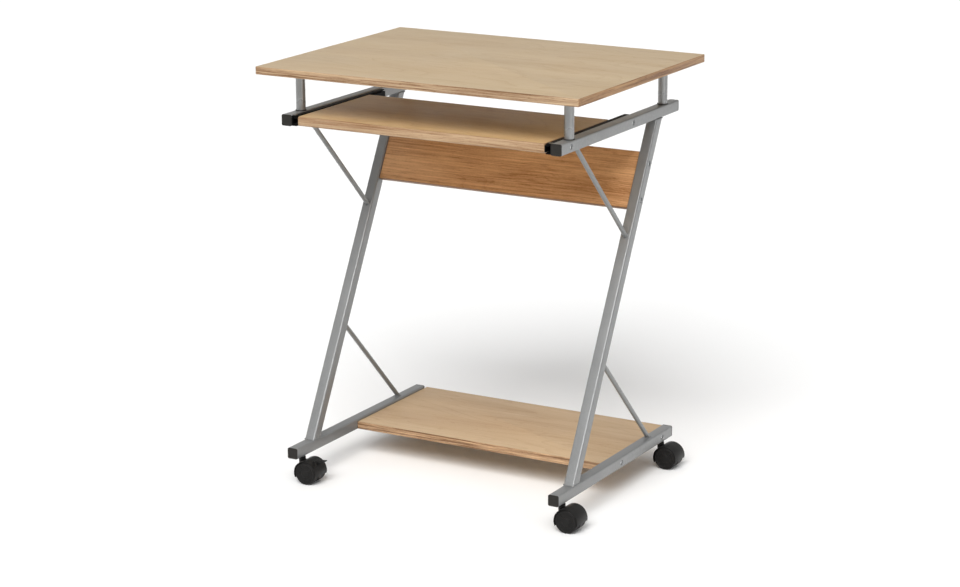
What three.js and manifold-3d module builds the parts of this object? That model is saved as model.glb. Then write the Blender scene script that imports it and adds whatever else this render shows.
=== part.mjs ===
// Computer desk with keyboard tray on castors.
// Millimetres, Z up, X to the right, Y to the back. Origin on the floor under the centre of the desktop.
import * as THREE from "three";
import { mergeVertices } from "three/addons/utils/BufferGeometryUtils.js";
import Module from "manifold-3d";

const wasm = await Module();
wasm.setup();

// ---------- driving dimensions ----------
const GAP = 0.3; // clearance between neighbouring pieces

const TOP_W = 600; // desktop width
const TOP_D = 465; // desktop depth
const TOP_T = 13; // desktop thickness
const TOP_Z = 724.5; // desktop upper face
const BOARD_R = 3; // plan corner radius of the desktop

const TUBE = 19; // square tube section
const TUBE_R = 2.5; // outer corner radius of the tube
const WALL = 1.2; // tube wall
const SIDE_X = 251.5; // centre plane of each side frame

const ARM_Z = 636; // centre height of the upper arm
const ARM_Y0 = -215.5; // front end of the arm, cap included
const ARM_Y1 = 215; // rear end of the arm, cap included
const BASE_Z = 57.5; // centre height of the base tube
const BASE_Y0 = -218.5; // front end of the base tube, cap included
const BASE_Y1 = 211.5; // rear end of the base tube, cap included
const CAP_T = 2; // flange thickness of an end cap
const CAP_PLUG = 12; // depth of the cap's plug inside the tube

const POST_R = 8; // radius of the round posts under the desktop
const POST_Y = 170.5; // posts stand this far in front of and behind the centre

const LEG_TOP_Y = 140.9; // leg centre line where it meets the arm
const LEG_FOOT_Y = -153.9; // leg centre line where it meets the base tube

const BRACE_R = 4; // radius of the brace rods
const BRACE_UP = 480.8; // y + z along the upper 45 degree brace
const BRACE_LOW = 200.1; // y + z along the lower 45 degree brace

const SHELF_T = 13;
const SHELF_Z = 62.5; // upper face of the shelf
const SHELF_Y0 = -23;
const SHELF_Y1 = 219.5;

const PANEL_T = 13; // back panel thickness
const PANEL_H = 99; // back panel height, measured along the leg
const PANEL_Y = 88.8; // centre of the back panel
const PANEL_Z = 527.7;

const TRAY_W = 460;
const TRAY_T = 16;
const TRAY_Z = 644; // upper face of the tray
const TRAY_Y0 = -213.5;
const TRAY_Y1 = 11.5;
const TRAY_R = 3; // rounding along the front edge

const RAIL_H = 17; // slide height
const RAIL_Z = 636; // slide centre height
const RAIL_Y0 = -213.5;
const RAIL_L = 278; // slide length
const CAGE_Y0 = -112; // ball cage with the tray closed
const CAGE_L = 72;

const STEM_Y_FRONT = -187; // swivel axis of the front castors
const STEM_Y_REAR = 185; // swivel axis of the rear castors
const TRAIL = 16; // wheel axle lies this far to the right of the swivel axis
const WHEEL_R = 20;
const WHEEL_IN = 4.9; // inner face of a wheel, from the castor's middle plane
const WHEEL_OUT = 18.4; // outer face of a wheel
const AXLE_R = 2.5;
const HOOD_IN = 20.5; // inner radius of the hood
const HOOD_OUT = 21.7; // outer radius of the hood
const WEB_HALF = 4.5; // half thickness of the middle web

// ---------- materials ----------
const mat = (name, color, roughness, metalness) => {
  const m = new THREE.MeshStandardMaterial({ color, roughness, metalness });
  m.name = name;
  return m;
};
const OAK = () => mat("oak_board", 0xc8af8c, 0.55, 0.0);
const OAK_DARK = () => mat("oak_board_shaded", 0xb08050, 0.55, 0.0);
const SILVER = () => mat("silver_powder_coat", 0x8c8e8a, 0.42, 0.6);
const BLACK = () => mat("black_plastic", 0x26241f, 0.5, 0.0);
const BLACK_STEEL = () => mat("black_steel", 0x1c1c1d, 0.35, 0.8);
const STEEL = () => mat("zinc_steel", 0xb8babb, 0.3, 0.9);
const TREAD = () => mat("black_nylon", 0x1b1b1a, 0.6, 0.0);

// ---------- helpers ----------
const toManifold = (geometry) => {
  const g = geometry.clone();
  g.deleteAttribute("normal");
  g.deleteAttribute("uv");
  const m = mergeVertices(g, 1e-4);
  return new wasm.Manifold(
    new wasm.Mesh({
      numProp: 3,
      vertProperties: new Float32Array(m.attributes.position.array),
      triVerts: new Uint32Array(m.index.array),
    }),
  );
};
const toGeometry = (solid) => {
  const m = solid.getMesh();
  const n = m.numProp;
  const pos = new Float32Array(m.numVert * 3);
  for (let i = 0; i < m.numVert; i++) {
    pos[3 * i] = m.vertProperties[n * i];
    pos[3 * i + 1] = m.vertProperties[n * i + 1];
    pos[3 * i + 2] = m.vertProperties[n * i + 2];
  }
  const g = new THREE.BufferGeometry();
  g.setAttribute("position", new THREE.BufferAttribute(pos, 3));
  g.setIndex(new THREE.BufferAttribute(new Uint32Array(m.triVerts), 1));
  const flat = g.toNonIndexed();
  flat.computeVertexNormals();
  return flat;
};

// Outline of a rounded rectangle centred on (cx, cy).
const roundRect = (w, h, r, seg, cx = 0, cy = 0) => {
  const pts = [];
  const corners = [
    [w / 2 - r, h / 2 - r, 0],
    [-w / 2 + r, h / 2 - r, 90],
    [-w / 2 + r, -h / 2 + r, 180],
    [w / 2 - r, -h / 2 + r, 270],
  ];
  for (const [x, y, a0] of corners)
    for (let i = 0; i <= seg; i++) {
      const a = THREE.MathUtils.degToRad(a0 + (90 * i) / seg);
      pts.push([cx + x + r * Math.cos(a), cy + y + r * Math.sin(a)]);
    }
  return pts;
};
const circle = (r, seg, cx = 0, cy = 0) => {
  const pts = [];
  for (let i = 0; i < seg; i++) {
    const a = (2 * Math.PI * (i + 0.5)) / seg;
    pts.push([cx + r * Math.cos(a), cy + r * Math.sin(a)]);
  }
  return pts;
};
const extrude = (outline, depth, holes = []) => {
  const shape = new THREE.Shape(outline.map(([x, y]) => new THREE.Vector2(x, y)));
  for (const h of holes)
    shape.holes.push(new THREE.Path(h.map(([x, y]) => new THREE.Vector2(x, y))));
  return new THREE.ExtrudeGeometry(shape, { depth, bevelEnabled: false, steps: 1 });
};
// An outline in the X-Y plane, standing from z0 to z1.
const alongZ = (outline, z0, z1, holes) =>
  extrude(outline, z1 - z0, holes).translate(0, 0, z0);
// An outline in the X-Z plane, running from y0 to y1.
const alongY = (outline, y0, y1, holes) =>
  extrude(outline, y1 - y0, holes).rotateX(Math.PI / 2).translate(0, y1, 0);
// An outline in the Y-Z plane, running from x0 to x1.
const alongX = (outline, x0, x1, holes) => {
  const basis = new THREE.Matrix4().makeBasis(
    new THREE.Vector3(0, 1, 0),
    new THREE.Vector3(0, 0, 1),
    new THREE.Vector3(1, 0, 0),
  );
  return extrude(outline, x1 - x0, holes).applyMatrix4(basis).translate(x0, 0, 0);
};
const boxOf = (x0, x1, y0, y1, z0, z1) =>
  new THREE.BoxGeometry(x1 - x0, y1 - y0, z1 - z0).translate(
    (x0 + x1) / 2,
    (y0 + y1) / 2,
    (z0 + z1) / 2,
  );

const desk = new THREE.Group();
desk.name = "computer_desk";
const add = (name, geometry, material) => {
  const mesh = new THREE.Mesh(geometry, material);
  mesh.name = name;
  desk.add(mesh);
  return mesh;
};

// ---------- boards ----------
add(
  "desktop",
  alongZ(roundRect(TOP_W, TOP_D, BOARD_R, 3), TOP_Z - TOP_T, TOP_Z),
  OAK(),
);

// The tray: its front edge is rounded over, above and below.
{
  const o = [];
  const zt = TRAY_Z;
  const zb = TRAY_Z - TRAY_T;
  o.push([TRAY_Y1, zb], [TRAY_Y1, zt]);
  for (let i = 0; i <= 4; i++) {
    const a = THREE.MathUtils.degToRad(90 + (90 * i) / 4);
    o.push([TRAY_Y0 + TRAY_R + TRAY_R * Math.cos(a), zt - TRAY_R + TRAY_R * Math.sin(a)]);
  }
  for (let i = 0; i <= 4; i++) {
    const a = THREE.MathUtils.degToRad(180 + (90 * i) / 4);
    o.push([TRAY_Y0 + TRAY_R + TRAY_R * Math.cos(a), zb + TRAY_R + TRAY_R * Math.sin(a)]);
  }
  add("keyboard_tray", alongX(o, -TRAY_W / 2, TRAY_W / 2), OAK());
}

const INNER_X = SIDE_X - TUBE / 2; // inner faces of the side frames
const BOARD_X = INNER_X - GAP; // ends of the boards held between them

add(
  "lower_shelf",
  alongZ(
    roundRect(2 * BOARD_X, SHELF_Y1 - SHELF_Y0, 1, 1, 0, (SHELF_Y0 + SHELF_Y1) / 2),
    SHELF_Z - SHELF_T,
    SHELF_Z,
  ),
  OAK(),
);

// ---------- slanted leg frame ----------
const ARM_BOTTOM = ARM_Z - TUBE / 2;
const ARM_TOP = ARM_Z + TUBE / 2;
const BASE_TOP = BASE_Z + TUBE / 2;
const BASE_BOTTOM = BASE_Z - TUBE / 2;
const slant = Math.atan2(LEG_TOP_Y - LEG_FOOT_Y, ARM_BOTTOM - BASE_TOP); // from the vertical
const legMid = [(LEG_TOP_Y + LEG_FOOT_Y) / 2, (ARM_BOTTOM + BASE_TOP) / 2];

add(
  "back_panel",
  boxOf(-BOARD_X, BOARD_X, -PANEL_T / 2, PANEL_T / 2, -PANEL_H / 2, PANEL_H / 2)
    .rotateX(-slant)
    .translate(0, PANEL_Y, PANEL_Z),
  OAK_DARK(),
);

const tubeOuter = roundRect(TUBE, TUBE, TUBE_R, 3);
const tubeInner = roundRect(TUBE - 2 * WALL, TUBE - 2 * WALL, TUBE_R - WALL, 2);

for (const [side, s] of [
  ["left", -1],
  ["right", 1],
]) {
  const x = s * SIDE_X;

  // Upper arm and its end caps.
  const armY0 = ARM_Y0 + CAP_T + GAP;
  const armY1 = ARM_Y1 - CAP_T - GAP;
  add(
    `arm_tube_${side}`,
    alongY(tubeOuter, armY0, armY1, [tubeInner]).translate(x, 0, ARM_Z),
    SILVER(),
  );

  // Base tube, with a hole in its lower wall for each castor stem.
  const baseY0 = BASE_Y0 + CAP_T + GAP;
  const baseY1 = BASE_Y1 - CAP_T - GAP;
  let base = toManifold(
    alongY(tubeOuter, baseY0, baseY1, [tubeInner]).translate(x, 0, BASE_Z),
  );
  for (const y of [STEM_Y_FRONT, STEM_Y_REAR])
    base = base.subtract(
      toManifold(alongZ(circle(4.5, 16), BASE_BOTTOM - 2, BASE_Z).translate(x, y, 0)),
    );
  add(`base_tube_${side}`, toGeometry(base), SILVER());

  // End caps: a domed flange over the tube's end and a plug inside it.
  const plug = roundRect(TUBE - 2 * WALL - 0.8, TUBE - 2 * WALL - 0.8, 1, 1);
  const cap = (name, yEnd, dir, z) => {
    const flange = toManifold(
      alongY(roundRect(TUBE, TUBE, TUBE_R, 3), -CAP_T * 0.6, 0),
    ).add(
      toManifold(
        alongY(roundRect(TUBE - 2, TUBE - 2, TUBE_R - 1, 3), -CAP_T, -CAP_T * 0.6 + 0.01),
      ),
    );
    const whole = flange.add(toManifold(alongY(plug, -0.01, CAP_PLUG)));
    const g = toGeometry(whole);
    if (dir > 0) g.rotateZ(Math.PI);
    add(name, g.translate(x, yEnd, z), BLACK());
  };
  cap(`arm_cap_front_${side}`, ARM_Y0 + CAP_T, -1, ARM_Z);
  cap(`arm_cap_rear_${side}`, ARM_Y1 - CAP_T, 1, ARM_Z);
  cap(`base_cap_front_${side}`, BASE_Y0 + CAP_T, -1, BASE_Z);
  cap(`base_cap_rear_${side}`, BASE_Y1 - CAP_T, 1, BASE_Z);

  // Slanted leg, cut level under the arm and on the base tube.
  const leg = toManifold(
    alongZ(tubeOuter, -400, 400, [tubeInner])
      .rotateX(-slant)
      .translate(x, legMid[0], legMid[1]),
  )
    .trimByPlane([0, 0, 1], BASE_TOP + GAP)
    .trimByPlane([0, 0, -1], -(ARM_BOTTOM - GAP));
  add(`leg_tube_${side}`, toGeometry(leg), SILVER());

  // Brace rods at 45 degrees, cut against the leg and the tubes.
  const legNormal = [0, Math.cos(slant), -Math.sin(slant)]; // points to the back and down
  const legCentre = legNormal[1] * legMid[0] + legNormal[2] * legMid[1];
  const rod = (sum) => {
    const z = 330;
    return toManifold(
      alongZ(circle(BRACE_R, 16), -420, 420)
        .rotateX(Math.PI / 4)
        .translate(x, sum - z, z),
    );
  };
  const upper = rod(BRACE_UP)
    .trimByPlane([0, 0, -1], -(ARM_BOTTOM - GAP))
    .trimByPlane(
      [0, -legNormal[1], -legNormal[2]],
      -(legCentre - TUBE / 2 - GAP),
    );
  add(`upper_brace_${side}`, toGeometry(upper), SILVER());
  const lower = rod(BRACE_LOW)
    .trimByPlane([0, 0, 1], BASE_TOP + GAP)
    .trimByPlane(legNormal, legCentre + TUBE / 2 + GAP);
  add(`lower_brace_${side}`, toGeometry(lower), SILVER());

  // Round posts that carry the desktop.
  for (const [end, y] of [
    ["front", -POST_Y],
    ["rear", POST_Y],
  ])
    add(
      `post_${end}_${side}`,
      alongZ(circle(POST_R, 24), ARM_TOP + GAP, TOP_Z - TOP_T - GAP, [
        circle(POST_R - WALL, 16),
      ]).translate(x, y, 0),
      SILVER(),
    );

  // Ball-bearing slide. Outline points are [distance in from the arm, height from the slide's centre].
  const inX = (pts) => {
    const q = pts.map(([d, h]) => [s * (INNER_X - d), RAIL_Z + h]);
    return s > 0 ? q.reverse() : q;
  };
  const h = RAIL_H / 2;
  add(
    `slide_outer_rail_${side}`,
    alongY(
      inX([
        [0.2, -h + 0.8],
        [1.0, -h],
        [9.2, -h],
        [9.8, -h + 0.6],
        [9.8, -h + 1.7],
        [8.9, -h + 1.7],
        [8.7, -h + 1.1],
        [1.6, -h + 1.1],
        [1.3, -h + 1.4],
        [1.3, h - 1.4],
        [1.6, h - 1.1],
        [8.7, h - 1.1],
        [8.9, h - 1.7],
        [9.8, h - 1.7],
        [9.8, h - 0.6],
        [9.2, h],
        [1.0, h],
        [0.2, h - 0.8],
      ]),
      RAIL_Y0,
      RAIL_Y0 + RAIL_L,
    ),
    BLACK_STEEL(),
  );
  add(
    `slide_inner_rail_${side}`,
    alongY(
      inX([
        [11.7, -5.0],
        [11.7, 5.0],
        [11.3, 5.4],
        [3.4, 5.4],
        [3.4, 4.3],
        [10.4, 4.3],
        [10.6, 4.1],
        [10.6, -4.1],
        [10.4, -4.3],
        [3.4, -4.3],
        [3.4, -5.4],
        [11.3, -5.4],
      ]),
      RAIL_Y0,
      RAIL_Y0 + RAIL_L,
    ),
    STEEL(),
  );
  add(
    `slide_ball_cage_${side}`,
    alongY(
      inX([
        [1.7, -6.9],
        [8.3, -6.9],
        [8.3, -5.8],
        [2.8, -5.8],
        [2.8, 5.8],
        [8.3, 5.8],
        [8.3, 6.9],
        [1.7, 6.9],
      ]),
      CAGE_Y0,
      CAGE_Y0 + CAGE_L,
    ),
    STEEL(),
  );

  // Castors.
  for (const [end, y] of [
    ["front", STEM_Y_FRONT],
    ["rear", STEM_Y_REAR],
  ]) {
    const tag = `${end}_${side}`;
    const place = (g) => g.translate(x, y, 0);
    const wx = TRAIL; // axle, in the castor's own frame
    const wz = WHEEL_R;

    // Stem: a pin in the housing, a collar under the tube and a thread inside it.
    const stem = toManifold(alongZ(circle(3.2, 20), 27, 45.5))
      .add(toManifold(alongZ(circle(5.5, 6), 45.2, BASE_BOTTOM - GAP)))
      .add(toManifold(alongZ(circle(4, 16), 46, 62)));
    add(`castor_stem_${tag}`, place(toGeometry(stem)), STEEL());

    // Housing: middle web, hood over both wheels, and the socket of the stem.
    const brake = end === "front" && side === "left" ? true : end === "rear" && side === "left";
    const hoodArc = [];
    const a0 = -12;
    const a1 = 205;
    const n = 22;
    for (let i = 0; i <= n; i++) {
      const a = THREE.MathUtils.degToRad(a0 + ((a1 - a0) * i) / n);
      hoodArc.push([wx + HOOD_OUT * Math.cos(a), wz + HOOD_OUT * Math.sin(a)]);
    }
    for (let i = n; i >= 0; i--) {
      const a = THREE.MathUtils.degToRad(a0 + ((a1 - a0) * i) / n);
      hoodArc.push([wx + HOOD_IN * Math.cos(a), wz + HOOD_IN * Math.sin(a)]);
    }
    const webArc = [];
    for (let i = 0; i <= n; i++) {
      const a = THREE.MathUtils.degToRad(a0 - 20 + ((a1 - a0 + 40) * i) / n);
      webArc.push([wx + (HOOD_IN + 0.4) * Math.cos(a), wz + (HOOD_IN + 0.4) * Math.sin(a)]);
    }
    webArc.push([wx - 6, wz - 9], [wx + 6, wz - 9]);
    let body = toManifold(alongY(hoodArc, -WHEEL_OUT - 0.2, WHEEL_OUT + 0.2))
      .add(toManifold(alongY(webArc, -WEB_HALF, WEB_HALF)))
      .add(
        toManifold(alongZ(circle(6, 20), 24, 44.9)).subtract(
          toManifold(alongY(circle(HOOD_IN, 44, wx, wz), WEB_HALF, 30)).add(
            toManifold(alongY(circle(HOOD_IN, 44, wx, wz), -30, -WEB_HALF)),
          ),
        ),
      );
    if (brake)
      for (const e of [-1, 1]) {
        const ear = alongY(
          [
            [wx + 10.4, wz + 17.6],
            [wx + 17.0, wz + 12.6],
            [wx + 17.0, wz + 20.5],
            [wx + 15.5, wz + 22.5],
            [wx + 12.5, wz + 22.5],
            [wx + 10.4, wz + 20.5],
          ],
          Math.min(e * 7.5, e * 9.8),
          Math.max(e * 7.5, e * 9.8),
        );
        body = body.add(
          toManifold(ear).subtract(toManifold(alongY(circle(HOOD_IN + 0.4, 44, wx, wz), -12, 12))),
        );
      }
    body = body
      .subtract(toManifold(alongZ(circle(3.6, 20), 26, 50)))
      .subtract(toManifold(alongY(circle(AXLE_R + 0.3, 16, wx, wz), -WEB_HALF - 1, WEB_HALF + 1)));
    if (brake)
      body = body.subtract(toManifold(alongY(circle(1.5, 12, wx + 14, wz + 20), -12, 12)));
    add(`castor_housing_${tag}`, place(toGeometry(body)), BLACK());

    add(
      `castor_axle_${tag}`,
      place(alongY(circle(AXLE_R, 16, wx, wz), -16.2, 16.2)),
      STEEL(),
    );

    // Wheels: a blind hub bore on the inside, a dished face and a hub boss on the outside.
    for (const [w, e] of [
      ["a", -1],
      ["b", 1],
    ]) {
      const profile = [
        [AXLE_R + 0.4, WHEEL_IN],
        [WHEEL_R - 1.2, WHEEL_IN],
        [WHEEL_R, WHEEL_IN + 1.2],
        [WHEEL_R, WHEEL_OUT - 2.6],
        [WHEEL_R - 0.8, WHEEL_OUT - 0.8],
        [WHEEL_R - 2.6, WHEEL_OUT],
        [WHEEL_R - 4.0, WHEEL_OUT],
        [WHEEL_R - 5.0, WHEEL_OUT - 1.0],
        [7.0, WHEEL_OUT - 1.0],
        [6.0, WHEEL_OUT],
        [0, WHEEL_OUT],
        [0, 16.7],
        [AXLE_R + 0.4, 16.7],
        [AXLE_R + 0.4, WHEEL_IN],
      ];
      const g = new THREE.LatheGeometry(
        profile.map(([r, t]) => new THREE.Vector2(r, t)),
        28,
      );
      if (e < 0) g.rotateX(Math.PI);
      g.translate(wx, 0, wz);
      add(`castor_wheel_${w}_${tag}`, place(toGeometry(toManifold(g))), TREAD());
    }

    // Brake lever: a tab on a barrel, with a pivot stub in each ear.
    if (brake) {
      const bx = wx + 14;
      const bz = wz + 20;
      const lever = toManifold(alongY(circle(2.3, 14, bx, bz), -7.1, 7.1))
        .add(toManifold(alongY(circle(1.1, 12, bx, bz), -9.4, 9.4)))
        .add(
          toManifold(
            alongY(
              [
                [bx, bz - 0.2],
                [bx + 8, bz - 0.6],
                [bx + 15.5, bz + 0.6],
                [bx + 16, bz + 1.6],
                [bx + 15, bz + 2.6],
                [bx + 8, bz + 1.6],
                [bx, bz + 2.2],
              ],
              -7.1,
              7.1,
            ),
          ),
        );
      add(`castor_brake_lever_${tag}`, place(toGeometry(lever)), BLACK());
    }
  }
}

export default desk;
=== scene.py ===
# Looks of the computer desk with keyboard tray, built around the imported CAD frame.
import bpy, bmesh, math, random
from mathutils import Matrix, Vector


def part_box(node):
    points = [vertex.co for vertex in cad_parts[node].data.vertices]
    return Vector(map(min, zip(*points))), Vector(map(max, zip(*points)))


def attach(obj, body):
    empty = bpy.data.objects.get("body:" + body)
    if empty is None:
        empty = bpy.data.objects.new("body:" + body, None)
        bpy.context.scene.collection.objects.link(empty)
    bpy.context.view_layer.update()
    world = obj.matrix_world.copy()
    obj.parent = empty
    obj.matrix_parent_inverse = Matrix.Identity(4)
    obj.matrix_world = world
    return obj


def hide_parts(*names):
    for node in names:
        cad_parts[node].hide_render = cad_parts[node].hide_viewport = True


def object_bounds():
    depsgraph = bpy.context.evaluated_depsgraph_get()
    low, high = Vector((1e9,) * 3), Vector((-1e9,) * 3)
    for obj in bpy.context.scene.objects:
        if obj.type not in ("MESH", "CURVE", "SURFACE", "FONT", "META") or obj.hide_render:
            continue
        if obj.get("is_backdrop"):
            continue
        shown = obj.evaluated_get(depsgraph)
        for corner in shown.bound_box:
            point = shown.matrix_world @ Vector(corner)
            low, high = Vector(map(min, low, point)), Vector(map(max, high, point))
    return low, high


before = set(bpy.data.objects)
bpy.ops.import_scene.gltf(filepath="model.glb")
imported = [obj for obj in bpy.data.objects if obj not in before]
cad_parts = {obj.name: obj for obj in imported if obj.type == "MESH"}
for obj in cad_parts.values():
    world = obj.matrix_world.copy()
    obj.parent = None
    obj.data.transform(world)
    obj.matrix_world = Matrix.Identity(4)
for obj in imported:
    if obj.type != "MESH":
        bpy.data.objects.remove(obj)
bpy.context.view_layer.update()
MM = 0.001


# ------------------------------------------------------------------ node helpers
class Mat:
    """A small wrapper that builds a node material."""

    def __init__(self, name):
        self.m = bpy.data.materials.new(name)
        self.m.use_nodes = True
        self.t = self.m.node_tree
        self.t.nodes.clear()
        self.out = self.t.nodes.new("ShaderNodeOutputMaterial")
        self.bsdf = self.t.nodes.new("ShaderNodeBsdfPrincipled")
        self.t.links.new(self.bsdf.outputs["BSDF"], self.out.inputs["Surface"])
        self.coord = self.t.nodes.new("ShaderNodeTexCoord")

    def new(self, kind, **props):
        n = self.t.nodes.new(kind)
        for k, v in props.items():
            setattr(n, k, v)
        return n

    def link(self, a, b):
        self.t.links.new(a, b)

    def mapping(self, scale, loc=(0, 0, 0), rot=(0, 0, 0), source=None):
        n = self.new("ShaderNodeMapping")
        n.inputs["Scale"].default_value = scale
        n.inputs["Location"].default_value = loc
        n.inputs["Rotation"].default_value = rot
        self.link(source or self.coord.outputs["Object"], n.inputs["Vector"])
        return n.outputs["Vector"]

    def noise(self, vec, scale=1.0, detail=4.0, rough=0.55, dist=0.0):
        n = self.new("ShaderNodeTexNoise")
        n.inputs["Scale"].default_value = scale
        n.inputs["Detail"].default_value = detail
        n.inputs["Roughness"].default_value = rough
        n.inputs["Distortion"].default_value = dist
        self.link(vec, n.inputs["Vector"])
        return n.outputs["Fac"]

    def ramp(self, fac, stops, interp="LINEAR"):
        n = self.new("ShaderNodeValToRGB")
        n.color_ramp.interpolation = interp
        e = n.color_ramp.elements
        while len(e) > 1:
            e.remove(e[-1])
        e[0].position, e[0].color = stops[0][0], col(stops[0][1])
        for p, c in stops[1:]:
            x = e.new(p)
            x.color = col(c)
        self.link(fac, n.inputs["Fac"])
        return n.outputs["Color"]

    def math(self, op, a, b=None, clamp=False):
        n = self.new("ShaderNodeMath", operation=op, use_clamp=clamp)
        for i, v in enumerate((a, b)):
            if v is None:
                continue
            if isinstance(v, (int, float)):
                n.inputs[i].default_value = v
            else:
                self.link(v, n.inputs[i])
        return n.outputs[0]

    def mix(self, a, b, fac, blend="MIX"):
        n = self.new("ShaderNodeMix", data_type="RGBA", blend_type=blend)
        for sock, v in ((n.inputs["A"], a), (n.inputs["B"], b), (n.inputs["Factor"], fac)):
            pass
        ins = {i.identifier: i for i in n.inputs}
        for key, v in (("Factor_Float", fac), ("A_Color", a), ("B_Color", b)):
            s = ins[key]
            if isinstance(v, (int, float)):
                s.default_value = v
            elif isinstance(v, (tuple, list)):
                s.default_value = col(v)
            else:
                self.link(v, s)
        return [o for o in n.outputs if o.identifier == "Result_Color"][0]

    def maprange(self, v, a, b, c, d):
        n = self.new("ShaderNodeMapRange")
        for i, x in enumerate((a, b, c, d), start=1):
            n.inputs[i].default_value = x
        self.link(v, n.inputs[0])
        return n.outputs[0]

    def bump(self, height, strength, distance, normal=None):
        n = self.new("ShaderNodeBump")
        n.inputs["Strength"].default_value = strength
        n.inputs["Distance"].default_value = distance
        self.link(height, n.inputs["Height"])
        if normal is not None:
            self.link(normal, n.inputs["Normal"])
        return n.outputs["Normal"]

    def set(self, **kw):
        for k, v in kw.items():
            self.bsdf.inputs[k.replace("_", " ")].default_value = v

    def put(self, name, v):
        self.link(v, self.bsdf.inputs[name])


def col(c):
    if isinstance(c, (int, float)):
        return (c, c, c, 1.0)
    return tuple(c) if len(c) == 4 else (*c, 1.0)


def srgb(r, g, b):
    def f(v):
        v /= 255
        return v / 12.92 if v <= 0.04045 else ((v + 0.055) / 1.055) ** 2.4

    return (f(r), f(g), f(b))


# ------------------------------------------------------------------ materials
def oak(name, light, dark, gain=(1, 1, 1), figure=0.5, lines=0.5, cath=0.5, wavy=1.0, seed=0.0, rough=0.46, cross=False):
    """Printed light oak foil. The grain runs along local X, or along local Y with cross; figure is the broad pattern, lines the fine streaks."""
    light = tuple(min(1, v * g) for v, g in zip(light, gain))
    dark = tuple(min(1, v * g) for v, g in zip(dark, gain))
    m = Mat(name)
    o = (seed * 3.1, seed * 7.7, seed * 5.3)
    sep = m.new("ShaderNodeSeparateXYZ")
    m.link(m.coord.outputs["Object"], sep.inputs[0])
    # slow wander of the grain, so that the streaks are not dead straight
    wander = m.noise(m.mapping((3.4, 9.0, 9.0), loc=o), 1.0, 3.0, 0.5)
    w = m.math("MULTIPLY", m.math("SUBTRACT", wander, 0.5), 0.030 * wavy)
    comb = m.new("ShaderNodeCombineXYZ")
    m.link(sep.outputs[1 if cross else 0], comb.inputs[0])
    m.link(m.math("ADD", sep.outputs[0 if cross else 1], w), comb.inputs[1])
    m.link(m.math("ADD", sep.outputs[2], w), comb.inputs[2])
    vec = comb.outputs[0]
    # cathedral figure: long nested ovals of growth rings
    oval = m.noise(m.mapping((2.4, 13.0, 13.0), loc=(o[1], o[0], o[2]), source=vec), 1.0, 1.5, 0.45, 0.35)
    rings = m.math("FRACT", m.math("MULTIPLY", oval, 15.0))
    rings = m.math("POWER", rings, 7.0)
    broad = m.noise(m.mapping((1.5, 15.0, 15.0), loc=o, source=vec), 1.0, 3.0, 0.55, 0.6)
    # fine streaks, short pores and flecks
    streak = m.noise(m.mapping((6.0, 330.0, 330.0), loc=o, source=vec), 1.0, 4.0, 0.62)
    fine = m.noise(m.mapping((26.0, 1100.0, 1100.0), loc=o, source=vec), 1.0, 2.0, 0.5)
    pores = m.ramp(m.noise(m.mapping((55.0, 850.0, 850.0), loc=(o[2], o[1], o[0]), source=vec), 1.0, 2.0, 0.5),
                   [(0.0, 1.0), (0.30, 1.0), (0.37, 0.0), (1.0, 0.0)])
    speck = m.noise(m.mapping((260.0, 560.0, 560.0), loc=o), 1.0, 2.0, 0.5)
    fleck = m.noise(m.mapping((22.0, 90.0, 90.0), loc=(o[2], o[0], o[1]), source=vec), 1.0, 3.0, 0.6, 0.8)
    fleck = m.maprange(fleck, 0.62, 0.74, 0.0, 1.0)
    f = m.math("MULTIPLY", m.math("SUBTRACT", broad, 0.5), 1.5 * figure)
    f = m.math("ADD", f, m.math("MULTIPLY", m.math("SUBTRACT", rings, 0.12), -0.75 * cath))
    f = m.math("ADD", f, m.math("MULTIPLY", m.math("SUBTRACT", streak, 0.5), 1.7 * lines))
    f = m.math("ADD", f, m.math("MULTIPLY", m.math("SUBTRACT", fine, 0.5), 0.7 * lines))
    f = m.math("ADD", f, m.math("MULTIPLY", m.math("SUBTRACT", speck, 0.5), 0.20))
    f = m.math("ADD", f, m.math("MULTIPLY", fleck, -0.35 * figure))
    f = m.math("ADD", f, m.math("MULTIPLY", pores, -0.26 * (0.35 + 0.65 * lines)))
    f = m.math("ADD", f, 0.55, clamp=True)
    mid = tuple((a + b) / 2 for a, b in zip(light, dark))
    c = m.ramp(f, [(0.0, tuple(v * 0.70 for v in dark)), (0.28, dark), (0.55, mid), (0.85, light), (1.0, tuple(min(1, v * 1.06) for v in light))])
    # faint warm and cool patches
    patch = m.noise(m.mapping((3.0, 7.0, 7.0), loc=(o[1], 4.0, 1.0)), 1.0, 2.0, 0.5)
    c = m.mix(c, (1.0, 0.90, 0.78), m.maprange(patch, 0.40, 0.75, 0.0, 0.35), "MULTIPLY")
    m.put("Base Color", c)
    smear = m.noise(m.mapping((9.0, 14.0, 9.0), loc=(2.0, 1.0, seed)), 1.0, 4.0, 0.6)
    r = m.math("ADD", m.maprange(smear, 0.3, 0.7, rough - 0.05, rough + 0.07), m.math("MULTIPLY", pores, 0.10))
    m.put("Roughness", r)
    h = m.math("ADD", m.math("MULTIPLY", streak, 0.5), m.math("MULTIPLY", pores, -0.6))
    m.put("Normal", m.bump(h, 0.16, 0.0002))
    m.set(Specular_IOR_Level=0.40)
    return m.m


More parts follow.
